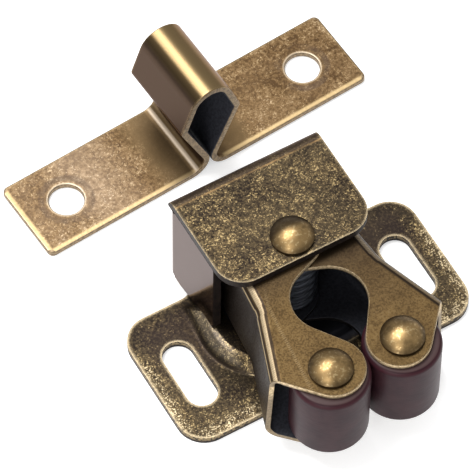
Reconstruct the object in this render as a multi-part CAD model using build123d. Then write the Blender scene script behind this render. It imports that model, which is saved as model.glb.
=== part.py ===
"""Double roller catch: a folded sheet bracket with two sprung jaws that carry plastic
rollers, and the folded strike whose arrow-shaped prong they grip. All lengths in mm.

Frame: the origin is midway between the two screw slots on the mounting plane. +Z points
away from the surface that the catch is screwed to, the rollers face -Y, and +X runs from
one ear to the other."""
import os
from math import asin, atan2, cos, degrees, hypot, radians, sin

from build123d import *

# Bracket sheet, ears and slots
SHEET = 1.0
EAR_SPAN = 36.5
EAR_DEPTH = 17.05
EAR_CORNER_R = 3.3
EAR_ROOT_R = 2.0
EAR_SETBACK = 4.25
SLOT_SPACING = 27.8
SLOT_LENGTH = 8.8
SLOT_WIDTH = 3.6
EDGE_BREAK = 0.35

# Bracket tower: rear wall, side flanges and the plate over the jaws
TOWER_WIDTH = 18.5
TOWER_HEIGHT = 15.4
TOWER_REAR_Y = 13.0
TOP_FRONT_Y = -0.7
TOP_CORNER_R = 3.3
BEND_R = 1.3
FLANGE_FRONT_Y = 3.1
FLANGE_BEND_R = 1.2
FLANGE_GAP = 0.12
RELIEF = 0.1

# Raised platform that the jaws lie on
PLATFORM_RISE = 1.3
PLATFORM_FRONT_Y = -4.9
PLATFORM_REAR_Y = 8.7
PLATFORM_FRONT_W = 23.2
PLATFORM_REAR_W = 20.8
PLATFORM_CORNER_R = 7.0
PLATFORM_SIDE_SLOPE = 1.5
PLATFORM_FRONT_SLOPE = 0.8
RAMP_LENGTH = 4.4
RAMP_REAR_Y = 9.4
RECESS_WALL = 0.4

# Pivot rivet
PIVOT_Y = 2.1
PIVOT_R = 1.6
HEAD_R = 2.45
HEAD_RIM = 0.4
HEAD_RISE = 1.15
TAIL_R = 2.2
TAIL_RIM = 0.2
PIVOT_TAIL = 0.9
RIVET_FIT = 0.02

# Jaws, drawn from the pivot axis; the left one is the pattern
JAW_SHEET = 0.6
JAW_GAP = 0.05
JAW_BEND_R = 1.3
JAW_PIVOT_FIT = 0.05
BOSS_R = 3.2
KEYHOLE_R = 4.25
KEYHOLE_REACH = 8.0
LOBE_X = 4.12
LOBE_REACH = 15.75
LOBE_R = 3.6
TAIL_INSIDE_FLANGE = 1.65
KNEE_INSIDE_FLANGE = 0.5
FLANK_TAIL = (TOWER_WIDTH / 2 - SHEET - TAIL_INSIDE_FLANGE, 5.6)
FLANK_KNEE = (TOWER_WIDTH / 2 - SHEET - KNEE_INSIDE_FLANGE, -5.6)
FLANK_FRONT = (10.7, -13.7)
KNEE_R = 5.0
TAIL_EDGE = 1.5
FLANK_FLARE = 0.5

# Rollers and their pins
ROLLER_R = 4.4
ROLLER_END_GAP = 0.075
ROLLER_RIM_R = 0.6
ROLLER_X = 4.46
ROLLER_REACH = 15.85
ROLLER_FIT = 0.06
PIN_R = 1.5
PIN_TAIL = 0.8

# Torsion spring
WIRE = 1.2
COIL_R = 2.4
COIL_GAP = 0.1
LEG_ANGLE = 30.0
LEG_GAP = 0.17

# Strike: one folded strip with an arrow-shaped prong
STRIKE_SHEET = 0.8
STRIKE_LENGTH = 42.8
STRIKE_WIDTH = 10.3
STRIKE_HOLE_INSET = 5.4
STRIKE_HOLE_R = 2.0
PRONG_HEIGHT = 15.7
NECK_WIDTH = 1.8
FOOT_R = 1.5
SHOULDER = (3.95, 10.0)
SHOULDER_R = 0.9
NOSE_R = 2.8
STRIKE_CENTRE = (1.3, 27.7)
STRIKE_TURN = 4.1

# Heights that follow from the sheets lying on each other
PLATFORM_TOP = SHEET + PLATFORM_RISE
CHANNEL_LOW = PLATFORM_TOP + JAW_GAP
CHANNEL_HIGH = TOWER_HEIGHT - SHEET - JAW_GAP
JAW_HEIGHT = CHANNEL_HIGH - CHANNEL_LOW - JAW_SHEET - JAW_GAP
LEFT_JAW_Z = CHANNEL_HIGH - JAW_HEIGHT
RIGHT_JAW_Z = CHANNEL_LOW
ROLLER_LENGTH = JAW_HEIGHT - 2 * JAW_SHEET - 2 * ROLLER_END_GAP

# Room for the spring, and legs that end just inside the jaws' tails
LEG_REACH = FLANK_TAIL[0] - JAW_SHEET - WIRE / 2 - LEG_GAP
LEG_LENGTH = (LEG_REACH - COIL_R * cos(radians(LEG_ANGLE))) / sin(radians(LEG_ANGLE))
SPRING_LOW = LEFT_JAW_Z + JAW_SHEET
SPRING_HIGH = RIGHT_JAW_Z + JAW_HEIGHT - JAW_SHEET

# How near an edge must lie to a height or a place to be picked, and a reach past every jaw edge
NEAR = 0.01
FAR = 2 * ROLLER_REACH

# The base's tongue, clear of the flanges' bends, and its edges, set back from the rear wall
TONGUE_WIDTH = TOWER_WIDTH - 2 * (FLANGE_BEND_R + RELIEF)
BASE_REAR_Y = TOWER_REAR_Y - EAR_SETBACK
BASE_FRONT_Y = BASE_REAR_Y - EAR_DEPTH


def upright(sketch, low, high):
    """Stands a plan sketch up between two heights."""
    return Pos(0, 0, low) * extrude(sketch, high - low)


def disc(x, y, r, low, high):
    """A plain round pillar or hole."""
    return upright(Pos(x, y) * Circle(r), low, high)


def polar(c, r, angle):
    """The point at a distance and an angle in radians from c."""
    return (c[0] + r * cos(angle), c[1] + r * sin(angle))


def angle_of(c, p):
    """The angle in radians at which p lies from c."""
    return atan2(p[1] - c[1], p[0] - c[0])


def rivet_dome(r, rim, rise):
    """Half outline of a domed rivet head, standing on Z = 0."""
    crown = (r * r + rise * rise) / (2 * rise)
    lean = asin(r / crown) / 2
    middle = (crown * sin(lean), rim + rise - crown + crown * cos(lean))
    return [
        Line((0, 0), (r, 0)),
        Line((r, 0), (r, rim)),
        ThreePointArc((r, rim), middle, (0, rim + rise)),
        Line((0, rim + rise), (0, 0)),
    ]


def rivet_head(r, rim, rise):
    """A domed head, standing on Z = 0."""
    return revolve(Plane.XZ * make_face(rivet_dome(r, rim, rise)), Axis.Z)


def rivet(shank_r, low, high, tail):
    """A rivet whose shank runs between two faces, with a dome above and a peened tail below."""
    shank = disc(0, 0, shank_r, low, high)
    head = Pos(0, 0, high) * rivet_head(HEAD_R, HEAD_RIM, HEAD_RISE)
    peened = rivet_head(TAIL_R, TAIL_RIM, tail - TAIL_RIM)
    return shank + head + Pos(0, 0, low) * (Rot(180, 0, 0) * peened)


# Bracket

def platform(rise_from, inset):
    """The pressed-up block under the jaws, or with an inset the recess behind it."""
    def outline(side, front):
        half_front = PLATFORM_FRONT_W / 2 - side - inset
        half_rear = PLATFORM_REAR_W / 2 - side - inset
        front_y = PLATFORM_FRONT_Y + front + inset
        plan = make_face(Polyline(
            (-half_rear, PLATFORM_REAR_Y), (-half_front, front_y),
            (half_front, front_y), (half_rear, PLATFORM_REAR_Y), close=True))
        corners = plan.vertices().sort_by(Axis.Y)[:2]
        return fillet(corners, PLATFORM_CORNER_R - front - inset)

    foot = Pos(0, 0, rise_from) * outline(0, 0)
    crest = Pos(0, 0, rise_from + PLATFORM_RISE) * outline(PLATFORM_SIDE_SLOPE, PLATFORM_FRONT_SLOPE)
    block = loft([foot, crest], ruled=True)
    over_ramp = make_face(Polyline(
        (RAMP_REAR_Y - inset, rise_from),
        (RAMP_REAR_Y - RAMP_LENGTH - inset, rise_from + PLATFORM_RISE),
        (RAMP_REAR_Y - RAMP_LENGTH - inset, rise_from + 2 * PLATFORM_RISE),
        (RAMP_REAR_Y + SHEET, rise_from + 2 * PLATFORM_RISE),
        (RAMP_REAR_Y + SHEET, rise_from), close=True))
    return block - extrude(Plane.YZ * over_ramp, PLATFORM_FRONT_W, both=True)


def base_plate():
    """The flat base with its two slotted ears."""
    ears = Pos(0, BASE_FRONT_Y + EAR_DEPTH / 2) * RectangleRounded(EAR_SPAN, EAR_DEPTH, EAR_CORNER_R)
    neck_end = TOWER_REAR_Y - BEND_R
    neck = Pos(0, neck_end / 2) * Rectangle(TONGUE_WIDTH, neck_end)
    plan = ears + neck
    roots = [
        v for v in plan.vertices()
        if abs(v.Y - BASE_REAR_Y) < NEAR and abs(abs(v.X) - TONGUE_WIDTH / 2) < NEAR
    ]
    plan = fillet(roots, EAR_ROOT_R)
    slot = Rot(0, 0, 90) * SlotOverall(SLOT_LENGTH, SLOT_WIDTH)
    for side in (-1, 1):
        plan -= Pos(side * SLOT_SPACING / 2, 0) * slot
    plate = upright(plan, 0, SHEET)
    top = [e for e in plate.edges() if e.center().Z > SHEET - NEAR]
    return fillet([e for e in top if e.center().Y < BASE_REAR_Y + NEAR], EDGE_BREAK)


def folded_strip():
    """Base tongue, rear wall and top plate as one strip folded twice."""
    def side_view(gap):
        face = make_face(Polyline(
            (TOP_FRONT_Y, gap), (TOWER_REAR_Y - gap, gap),
            (TOWER_REAR_Y - gap, TOWER_HEIGHT - gap), (TOP_FRONT_Y, TOWER_HEIGHT - gap), close=True))
        bends = face.vertices().sort_by(Axis.X)[2:]
        return fillet(bends, BEND_R - gap)

    strip = extrude(Plane.YZ * (side_view(0) - side_view(SHEET)), TOWER_WIDTH / 2, both=True)
    low, high = BEND_R + RELIEF, TOWER_HEIGHT - BEND_R - RELIEF
    for side in (-1, 1):
        beside = Pos(side * (TONGUE_WIDTH + TOWER_WIDTH) / 4, TOWER_REAR_Y / 2, low / 2)
        strip -= beside * Box((TOWER_WIDTH - TONGUE_WIDTH) / 2, TOWER_REAR_Y * 2, low)
        notch = Pos(side * (TOWER_WIDTH - FLANGE_BEND_R) / 2, TOWER_REAR_Y - SHEET / 2, (low + high) / 2)
        strip -= notch * Box(FLANGE_BEND_R, SHEET + RELIEF, high - low)
    front = [e for e in strip.edges().filter_by(Axis.Z) if abs(e.center().Y - TOP_FRONT_Y) < NEAR]
    strip = fillet([e for e in front if e.center().Z > TOWER_HEIGHT - SHEET], TOP_CORNER_R)
    top = [e for e in strip.edges() if e.center().Z > TOWER_HEIGHT - NEAR]
    return fillet([e for e in top if e.center().Y < TOWER_REAR_Y - BEND_R], EDGE_BREAK)


def side_flanges():
    """The two flanges turned forward from the rear wall, with notches where three bends meet."""
    def plan_view(gap):
        half = TOWER_WIDTH / 2 - gap
        rear = TOWER_REAR_Y - gap
        face = make_face(Polyline(
            (-half, FLANGE_FRONT_Y), (half, FLANGE_FRONT_Y), (half, rear), (-half, rear), close=True))
        return fillet(face.vertices().sort_by(Axis.Y)[2:], FLANGE_BEND_R - gap)

    low, high = SHEET + FLANGE_GAP, TOWER_HEIGHT - SHEET - FLANGE_GAP
    shell = upright(plan_view(0) - plan_view(SHEET), low, high)
    reach = BEND_R + RELIEF
    for z in (reach / 2, TOWER_HEIGHT - reach / 2):
        shell -= Pos(0, TOWER_REAR_Y - reach / 2, z) * Box(TOWER_WIDTH + SHEET, reach, reach)
    return shell - platform(SHEET + FLANGE_GAP, -FLANGE_GAP)


def bracket():
    """The whole bracket, pressed and folded from one sheet."""
    body = base_plate() + folded_strip() + platform(SHEET, 0) + side_flanges()
    body -= platform(0, RECESS_WALL)
    body -= disc(0, PIVOT_Y, PIVOT_R + RIVET_FIT, 0, TOWER_HEIGHT)
    return body


# Jaws

def unit_to(a, b):
    """Unit vector from one plan point to another, with their distance."""
    d = hypot(b[0] - a[0], b[1] - a[1])
    return ((b[0] - a[0]) / d, (b[1] - a[1]) / d, d)


def touch_from_point(p, c, r, turn):
    """Where a line from p touches the circle round c; turn picks the side."""
    ux, uy, d = unit_to(p, c)
    lean = turn * asin(r / d)
    run = d * cos(lean)
    return (p[0] + run * (ux * cos(lean) - uy * sin(lean)), p[1] + run * (ux * sin(lean) + uy * cos(lean)))


def touch_between(c1, r1, c2, r2, turn):
    """Ends of the line that touches two circles and crosses between them."""
    ux, uy, d = unit_to(c1, c2)
    swing = (r1 + r2) / d
    lift = turn * (1 - swing * swing) ** 0.5
    n = (ux * swing - uy * lift, uy * swing + ux * lift)
    return ((c1[0] + r1 * n[0], c1[1] + r1 * n[1]), (c2[0] - r2 * n[0], c2[1] - r2 * n[1]))


def arc_round(c, r, start, end, clockwise):
    """Arc round c between two points on its circle, the stated way."""
    a = angle_of(c, start)
    sweep = degrees(angle_of(c, end) - a) % 360
    if clockwise:
        sweep -= 360
    return ThreePointArc(start, polar(c, r, a + radians(sweep / 2)), end)


def flank_line(flare):
    """Outer face of the left flank in plan: tail, knee and front, seen from the pivot."""
    return [(-x - flare, y) for x, y in (FLANK_TAIL, FLANK_KNEE, FLANK_FRONT)]


def jaw_plan(flare):
    """Outline of the left jaw's plate: flank, lobe, keyhole edge and pivot boss."""
    tail, knee, front = flank_line(flare)
    lobe, keyhole, pivot = (-LOBE_X, -LOBE_REACH), (0, -KEYHOLE_REACH), (0, 0)
    inner_tail = (tail[0] + TAIL_EDGE + flare, tail[1])
    lobe_in = touch_from_point(front, lobe, LOBE_R, -1)
    lobe_out, key_in = touch_between(lobe, LOBE_R, keyhole, KEYHOLE_R, -1)
    boss_in, key_out = touch_between(pivot, BOSS_R, keyhole, KEYHOLE_R, 1)
    boss_out = touch_from_point(inner_tail, pivot, BOSS_R, 1)
    outline = [
        Line(tail, knee),
        Line(knee, front),
        Line(front, lobe_in),
        arc_round(lobe, LOBE_R, lobe_in, lobe_out, False),
        Line(lobe_out, key_in),
        arc_round(keyhole, KEYHOLE_R, key_in, key_out, True),
        Line(key_out, boss_in),
        arc_round(pivot, BOSS_R, boss_in, boss_out, False),
        Line(boss_out, inner_tail),
        Line(inner_tail, tail),
    ]
    plan = make_face(outline)
    bend = plan.vertices().sort_by_distance((knee[0], knee[1], 0))[0]
    return fillet(bend, KNEE_R)


def jaw_hollow_plan(flare):
    """Everything inside the flank, run well past the plate's open edges."""
    tail, knee, front = flank_line(flare)
    rear_x, rear_y, _ = unit_to(tail, knee)
    front_x, front_y, _ = unit_to(knee, front)
    mitre = 1 + rear_x * front_x + rear_y * front_y
    inner_knee = (
        knee[0] - JAW_SHEET * (rear_y + front_y) / mitre,
        knee[1] + JAW_SHEET * (rear_x + front_x) / mitre,
    )
    inner_rear = (inner_knee[0] - FAR * rear_x, inner_knee[1] - FAR * rear_y)
    inner_front = (inner_knee[0] + FAR * front_x, inner_knee[1] + FAR * front_y)
    plan = make_face(Polyline(inner_rear, inner_knee, inner_front, (FAR, -FAR), (FAR, FAR), close=True))
    bend = plan.vertices().sort_by_distance((inner_knee[0], inner_knee[1], 0))[0]
    return fillet(bend, KNEE_R - JAW_SHEET)


def jaw():
    """The left jaw: a channel with two plates joined by a flank, standing on Z = 0."""
    def between(plan, low, high):
        share = [1 - low / JAW_HEIGHT, 1 - high / JAW_HEIGHT]
        ends = [Pos(0, 0, z) * plan(FLANK_FLARE * s) for z, s in zip((low, high), share)]
        return loft(ends, ruled=True)

    def bend_edges(solid, low, high, front):
        picked = []
        for e in solid.edges():
            level = abs(e.center().Z - low) < NEAR or abs(e.center().Z - high) < NEAR
            if level and all(v.X < JAW_SHEET - FLANK_TAIL[0] and v.Y > front for v in e.vertices()):
                picked.append(e)
        return picked

    block = between(jaw_plan, 0, JAW_HEIGHT)
    block = fillet(bend_edges(block, 0, JAW_HEIGHT, FLANK_FRONT[1] - NEAR), JAW_BEND_R)
    low, high = JAW_SHEET, JAW_HEIGHT - JAW_SHEET
    hollow = between(jaw_hollow_plan, low, high)
    hollow = fillet(bend_edges(hollow, low, high, -2 * FAR), JAW_BEND_R - JAW_SHEET)
    body = block - hollow
    body -= disc(0, 0, PIVOT_R + JAW_PIVOT_FIT, 0, JAW_HEIGHT)
    body -= disc(-ROLLER_X, -ROLLER_REACH, PIN_R + RIVET_FIT, 0, JAW_HEIGHT)
    return body


def left_jaw():
    """The jaw whose upper plate is uppermost on the pivot."""
    return Pos(0, PIVOT_Y, LEFT_JAW_Z) * jaw()


def right_jaw():
    """The mirror image of the left jaw, its plates one sheet lower."""
    return Pos(0, PIVOT_Y, RIGHT_JAW_Z) * mirror(jaw(), about=Plane.YZ)


# Rollers, pins, rivet and spring

def roller(side, jaw_z):
    """A plastic roller with rounded rims, midway between its jaw's plates."""
    body = Cylinder(ROLLER_R, ROLLER_LENGTH)
    body = fillet(body.edges(), ROLLER_RIM_R)
    body -= Cylinder(PIN_R + ROLLER_FIT, ROLLER_LENGTH)
    return Pos(side * ROLLER_X, PIVOT_Y - ROLLER_REACH, jaw_z + JAW_HEIGHT / 2) * body


def roller_pin(side, jaw_z):
    """The rivet that a roller turns on."""
    return Pos(side * ROLLER_X, PIVOT_Y - ROLLER_REACH) * rivet(PIN_R, jaw_z, jaw_z + JAW_HEIGHT, PIN_TAIL)


def pivot_rivet():
    """The rivet that both jaws turn on, through the top plate and the platform."""
    return Pos(0, PIVOT_Y) * rivet(PIVOT_R, PLATFORM_RISE, TOWER_HEIGHT, PIVOT_TAIL)


def torsion_spring():
    """Coil round the pivot with a leg against the tail of each jaw."""
    pitch = WIRE + COIL_GAP
    slope = pitch / (2 * COIL_R * radians(180))
    last_part = 0.5 - LEG_ANGLE / 180
    room = SPRING_HIGH - SPRING_LOW - WIRE - 2 * slope * LEG_LENGTH
    height = (int(room / pitch - last_part) + last_part) * pitch
    coil = Rot(0, 0, 180 + LEG_ANGLE) * Helix(pitch, height, COIL_R)
    coil = Pos(0, PIVOT_Y, (SPRING_LOW + SPRING_HIGH - height) / 2) * coil
    low, high = coil @ 0, coil @ 1
    run = Vector(sin(radians(LEG_ANGLE)), cos(radians(LEG_ANGLE)), slope) * LEG_LENGTH
    legs = [Line(low + Vector(-run.X, run.Y, -run.Z), low), Line(high, high + run)]
    path = Wire([legs[0].edge(), coil.edge(), legs[1].edge()])
    section = Plane(origin=path @ 0, z_dir=path % 0) * Circle(WIRE / 2)
    return sweep(section, path, is_frenet=True)


# Strike

def mirrored(p):
    """The same point on the left half."""
    return (-p[0], p[1])


def strip_face(depth):
    """Edges of the strip's face at a depth under its outer one, from the right end to the left."""
    end, level = STRIKE_LENGTH / 2, STRIKE_SHEET - depth
    foot_c = (NECK_WIDTH / 2 + FOOT_R, STRIKE_SHEET + FOOT_R)
    nose_c = (0, PRONG_HEIGHT - NOSE_R)
    leg_angle = angle_of(foot_c, touch_from_point(SHOULDER, foot_c, FOOT_R, -1))
    nose_angle = angle_of(nose_c, touch_from_point(SHOULDER, nose_c, NOSE_R, -1))

    foot = (foot_c[0], level)
    foot_middle = polar(foot_c, FOOT_R + depth, (leg_angle + radians(270)) / 2)
    leg_low = polar(foot_c, FOOT_R + depth, leg_angle)

    lean = radians(180) - leg_angle
    tilt = (nose_angle - lean) / 2
    shoulder_c = polar(SHOULDER, -SHOULDER_R / cos((lean + nose_angle) / 2), tilt)
    shoulder = [polar(shoulder_c, SHOULDER_R - depth, angle) for angle in (-lean, tilt, nose_angle)]

    nose_side = polar(nose_c, NOSE_R - depth, nose_angle)
    tip = (0, PRONG_HEIGHT - depth)

    half = [
        ((end, level), foot),
        (foot, foot_middle, leg_low),
        (leg_low, shoulder[0]),
        tuple(shoulder),
        (shoulder[2], nose_side),
    ]
    edges = [ThreePointArc(nose_side, tip, mirrored(nose_side))]
    for points in half:
        kind = Line if len(points) == 2 else ThreePointArc
        edges.append(kind(*points))
        edges.append(kind(*[mirrored(p) for p in reversed(points)]))
    return edges


def strike():
    """The strip, folded up into the prong and flat at both ends."""
    end = STRIKE_LENGTH / 2
    cut_ends = [Line((side * end, 0), (side * end, STRIKE_SHEET)) for side in (-1, 1)]
    section = make_face(strip_face(0) + strip_face(STRIKE_SHEET) + cut_ends)
    strip = extrude(Plane.XZ * section, STRIKE_WIDTH / 2, both=True)
    for side in (-1, 1):
        strip -= disc(side * (end - STRIKE_HOLE_INSET), 0, STRIKE_HOLE_R, 0, STRIKE_SHEET)
    return Pos(*STRIKE_CENTRE, 0) * (Rot(0, 0, STRIKE_TURN) * strip)


def main():
    """Builds every piece and writes each to its own file."""
    os.makedirs("parts", exist_ok=True)
    pieces = {
        "bracket": bracket(),
        "left_jaw": left_jaw(),
        "right_jaw": right_jaw(),
        "left_roller": roller(-1, LEFT_JAW_Z),
        "right_roller": roller(1, RIGHT_JAW_Z),
        "left_roller_pin": roller_pin(-1, LEFT_JAW_Z),
        "right_roller_pin": roller_pin(1, RIGHT_JAW_Z),
        "pivot_rivet": pivot_rivet(),
        "torsion_spring": torsion_spring(),
        "strike": strike(),
    }
    for name, piece in pieces.items():
        export_step(piece, f"parts/{name}.step")


main()
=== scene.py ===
"""A double roller catch and its strike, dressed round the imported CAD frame.

The pieces are modelled in millimetres, drawn as sheet blanks, folded and thickened as the
press does it, and scaled to metres once they are finished. Plan positions are those of the
CAD frame: +Z points away from the mounting surface, +X from ear to ear, rollers face -Y."""
import logging
from contextlib import contextmanager
from dataclasses import dataclass
from enum import Enum
from functools import cached_property, reduce
from math import asin, atan2, cos, degrees, hypot, pi, radians, sin
from operator import mul
from typing import Callable, Iterator, Optional, Sequence, Union

import bmesh
import bpy
from mathutils import Matrix, Vector


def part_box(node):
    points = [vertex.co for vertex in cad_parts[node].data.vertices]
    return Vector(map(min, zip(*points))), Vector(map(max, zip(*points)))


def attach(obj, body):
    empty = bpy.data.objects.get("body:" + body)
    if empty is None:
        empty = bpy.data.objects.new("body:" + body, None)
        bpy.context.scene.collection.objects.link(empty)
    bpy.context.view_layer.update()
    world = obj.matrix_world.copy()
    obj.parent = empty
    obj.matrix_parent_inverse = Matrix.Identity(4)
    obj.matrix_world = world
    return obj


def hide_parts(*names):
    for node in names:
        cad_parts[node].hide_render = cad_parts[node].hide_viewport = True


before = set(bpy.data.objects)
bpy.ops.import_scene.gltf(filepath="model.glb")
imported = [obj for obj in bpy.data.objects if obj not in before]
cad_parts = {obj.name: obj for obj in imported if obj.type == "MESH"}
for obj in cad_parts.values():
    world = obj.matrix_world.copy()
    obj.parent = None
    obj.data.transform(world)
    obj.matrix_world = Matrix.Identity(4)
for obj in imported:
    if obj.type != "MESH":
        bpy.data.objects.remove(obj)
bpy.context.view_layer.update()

log = logging.getLogger("catch")

Point = tuple[float, float]
Colour = tuple[float, float, float]
Spot = tuple[float, float, float]

MM = 0.001
MERGE = 1e-4
FULL_TURN = 2 * pi

# Degrees of an arc that one edge spans, steps round a bore, and how far a cutter stands out
ARC_STEP = 9.0
BORE_STEPS = 40
CLEAR = 1.0

# Angles up to which sheets and turned pieces shade smooth, and from which an edge is broken
SHEET_SMOOTH = radians(48)
TURNED_SMOOTH = radians(35)
BREAK_ANGLE = radians(40)


# Plan geometry

def polar(centre: Point, r: float, angle: float) -> Point:
    """The point at a distance and an angle in radians from a centre."""
    return (centre[0] + r * cos(angle), centre[1] + r * sin(angle))


def angle_of(centre: Point, point: Point) -> float:
    """The angle in radians at which a point lies from a centre."""
    return atan2(point[1] - centre[1], point[0] - centre[0])


def mirrored(point: Point) -> Point:
    """The same point on the other side of the middle."""
    return (-point[0], point[1])


def unit_to(a: Point, b: Point) -> tuple[float, float, float]:
    """Unit vector from one point to another, with their distance."""
    d = hypot(b[0] - a[0], b[1] - a[1])
    return ((b[0] - a[0]) / d, (b[1] - a[1]) / d, d)


def touch_from_point(point: Point, centre: Point, r: float, turn: int) -> Point:
    """Where a line from a point touches a circle.

    Args:
        point: Start of the line.
        centre: Centre of the circle.
        r: Radius of the circle.
        turn: -1 or 1, the side that is touched.

    Returns:
        The point of contact.
    """
    ux, uy, d = unit_to(point, centre)
    lean = turn * asin(r / d)
    run = d * cos(lean)
    return (
        point[0] + run * (ux * cos(lean) - uy * sin(lean)),
        point[1] + run * (ux * sin(lean) + uy * cos(lean)),
    )


def touch_between(a: Point, ra: float, b: Point, rb: float, turn: int) -> tuple[Point, Point]:
    """Ends of the line that touches two circles and crosses between them.

    Args:
        a: Centre of the first circle.
        ra: Its radius.
        b: Centre of the second circle.
        rb: Its radius.
        turn: -1 or 1, which of the two crossing lines.

    Returns:
        The points of contact on the first and the second circle.
    """
    ux, uy, d = unit_to(a, b)
    swing = (ra + rb) / d
    lift = turn * (1 - swing * swing) ** 0.5
    nx, ny = ux * swing - uy * lift, uy * swing + ux * lift
    return (a[0] + ra * nx, a[1] + ra * ny), (b[0] - rb * nx, b[1] - rb * ny)


def rounding(before: Point, corner: Point, after: Point, r: float) -> tuple[Point, Point, float]:
    """The arc that rounds a corner.

    Args:
        before: The outline's point before the corner.
        corner: The corner itself.
        after: The outline's point after the corner.
        r: Radius of the arc.

    Returns:
        Start of the arc, its centre, and its sweep in degrees, counter-clockwise positive.
    """
    inx, iny, _ = unit_to(before, corner)
    outx, outy, _ = unit_to(corner, after)
    turn = atan2(inx * outy - iny * outx, inx * outx + iny * outy)
    side = 1 if turn > 0 else -1
    back = r * abs(sin(turn / 2) / cos(turn / 2))
    start = (corner[0] - back * inx, corner[1] - back * iny)
    centre = (start[0] - side * r * iny, start[1] + side * r * inx)
    return start, centre, degrees(turn)


# Modelling bench

class View(Enum):
    """The plane that an outline is drawn in: its two axes and its normal."""

    PLAN = (Vector((1, 0, 0)), Vector((0, 1, 0)))
    FRONT = (Vector((1, 0, 0)), Vector((0, 0, 1)))
    SIDE = (Vector((0, 1, 0)), Vector((0, 0, 1)))

    @property
    def normal(self) -> Vector:
        """The axis that a counter-clockwise arc turns round."""
        return self.value[0].cross(self.value[1])

    def place(self, point: Point, offset: float) -> Vector:
        """A point of the drawing in space, with the plane moved along the third axis."""
        third = Vector((1, 1, 1)) - self.value[0] - self.value[1]
        return self.value[0] * point[0] + self.value[1] * point[1] + third * offset


def select_only(obj: bpy.types.Object) -> None:
    """Makes one object the selected and active one."""
    bpy.ops.object.select_all(action="DESELECT")
    obj.select_set(True)
    bpy.context.view_layer.objects.active = obj


@contextmanager
def editing(obj: bpy.types.Object, whole: bool = True) -> Iterator[None]:
    """Edit mode on one object, with the whole of it or nothing selected at first."""
    select_only(obj)
    bpy.ops.object.mode_set(mode="EDIT")
    bpy.ops.mesh.select_all(action="SELECT" if whole else "DESELECT")
    yield
    bpy.ops.object.mode_set(mode="OBJECT")


def pick_edges(obj: bpy.types.Object, test: Callable[[Vector, Vector], bool]) -> None:
    """Selects, in edit mode, the edges whose two ends pass a test."""
    bpy.ops.mesh.select_mode(type="EDGE")
    mesh = bmesh.from_edit_mesh(obj.data)
    for edge in mesh.edges:
        edge.select_set(test(edge.verts[0].co, edge.verts[1].co))
    mesh.select_flush_mode()
    bmesh.update_edit_mesh(obj.data)


class Pencil:
    """Draws an outline on a new object: straight runs are extruded and round ones spun."""

    def __init__(self, name: str, start: Point, view: View = View.PLAN, offset: float = 0.0) -> None:
        """Puts the point down.

        Args:
            name: Name of the new object.
            start: First point of the outline.
            view: Plane of the drawing.
            offset: Place of that plane along its third axis.
        """
        bpy.ops.object.select_all(action="DESELECT")
        bpy.ops.mesh.primitive_plane_add(size=1, location=(0, 0, 0))
        self.obj = bpy.context.active_object
        self.obj.name = name
        self.view = view
        self.offset = offset
        self.at = start
        bpy.ops.object.mode_set(mode="EDIT")
        bpy.ops.mesh.select_mode(type="VERT")
        bpy.ops.mesh.select_all(action="SELECT")
        bpy.ops.mesh.merge(type="CENTER")
        bpy.ops.transform.translate(value=view.place(start, offset))

    def line(self, *points: Point) -> "Pencil":
        """Straight runs to one point after another."""
        for point in points:
            step = (point[0] - self.at[0], point[1] - self.at[1])
            if hypot(*step) > MERGE:
                bpy.ops.mesh.extrude_region_move(
                    TRANSFORM_OT_translate={"value": self.view.place(step, 0)}
                )
                self.at = point
        return self

    def arc(self, centre: Point, sweep: float, steps: int = 0) -> "Pencil":
        """A round run about a centre.

        Args:
            centre: Centre of the arc.
            sweep: Its angle in degrees, counter-clockwise positive.
            steps: Number of its edges, or 0 to work it out.

        Returns:
            The pencil, at the arc's far end.
        """
        count = steps or max(2, round(abs(sweep) / ARC_STEP))
        bpy.ops.mesh.spin(
            steps=count, angle=-radians(sweep), axis=self.view.normal,
            center=self.view.place(centre, self.offset),
        )
        r = hypot(self.at[0] - centre[0], self.at[1] - centre[1])
        self.at = polar(centre, r, angle_of(centre, self.at) + radians(sweep))
        return self

    def corner(self, corner: Point, after: Point, r: float) -> "Pencil":
        """A straight run up to a rounded corner, and the rounding."""
        start, centre, sweep = rounding(self.at, corner, after, r)
        return self.line(start).arc(centre, sweep)

    def arc_to(self, centre: Point, end: Point, clockwise: bool) -> "Pencil":
        """A round run about a centre to a point on the same circle."""
        sweep = degrees(angle_of(centre, end) - angle_of(centre, self.at)) % 360
        return self.arc(centre, sweep - 360 if clockwise else sweep)

    def finish(self) -> bpy.types.Object:
        """Leaves the outline open."""
        bpy.ops.object.mode_set(mode="OBJECT")
        return self.obj

    def close(self) -> bpy.types.Object:
        """Closes the outline and leaves it empty."""
        bpy.ops.mesh.select_all(action="SELECT")
        bpy.ops.mesh.edge_face_add()
        bpy.ops.mesh.delete(type="ONLY_FACE")
        return self.finish()

    def fill(self) -> bpy.types.Object:
        """Closes the outline and makes it a face."""
        bpy.ops.mesh.select_all(action="SELECT")
        bpy.ops.mesh.remove_doubles(threshold=MERGE)
        bpy.ops.mesh.edge_face_add()
        return self.finish()


def join(name: str, *parts: bpy.types.Object) -> bpy.types.Object:
    """Joins objects into one and welds the points that they share."""
    bpy.ops.object.select_all(action="DESELECT")
    for part in parts:
        part.select_set(True)
    bpy.context.view_layer.objects.active = parts[0]
    bpy.ops.object.join()
    parts[0].name = name
    with editing(parts[0]):
        bpy.ops.mesh.remove_doubles(threshold=MERGE)
    return parts[0]


def extrude_all(obj: bpy.types.Object, move: Sequence[float]) -> bpy.types.Object:
    """Extrudes a whole outline or face along a vector and turns its faces outwards."""
    with editing(obj):
        bpy.ops.mesh.extrude_region_move(TRANSFORM_OT_translate={"value": move})
        bpy.ops.mesh.select_all(action="SELECT")
        bpy.ops.mesh.normals_make_consistent(inside=False)
    return obj


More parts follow.
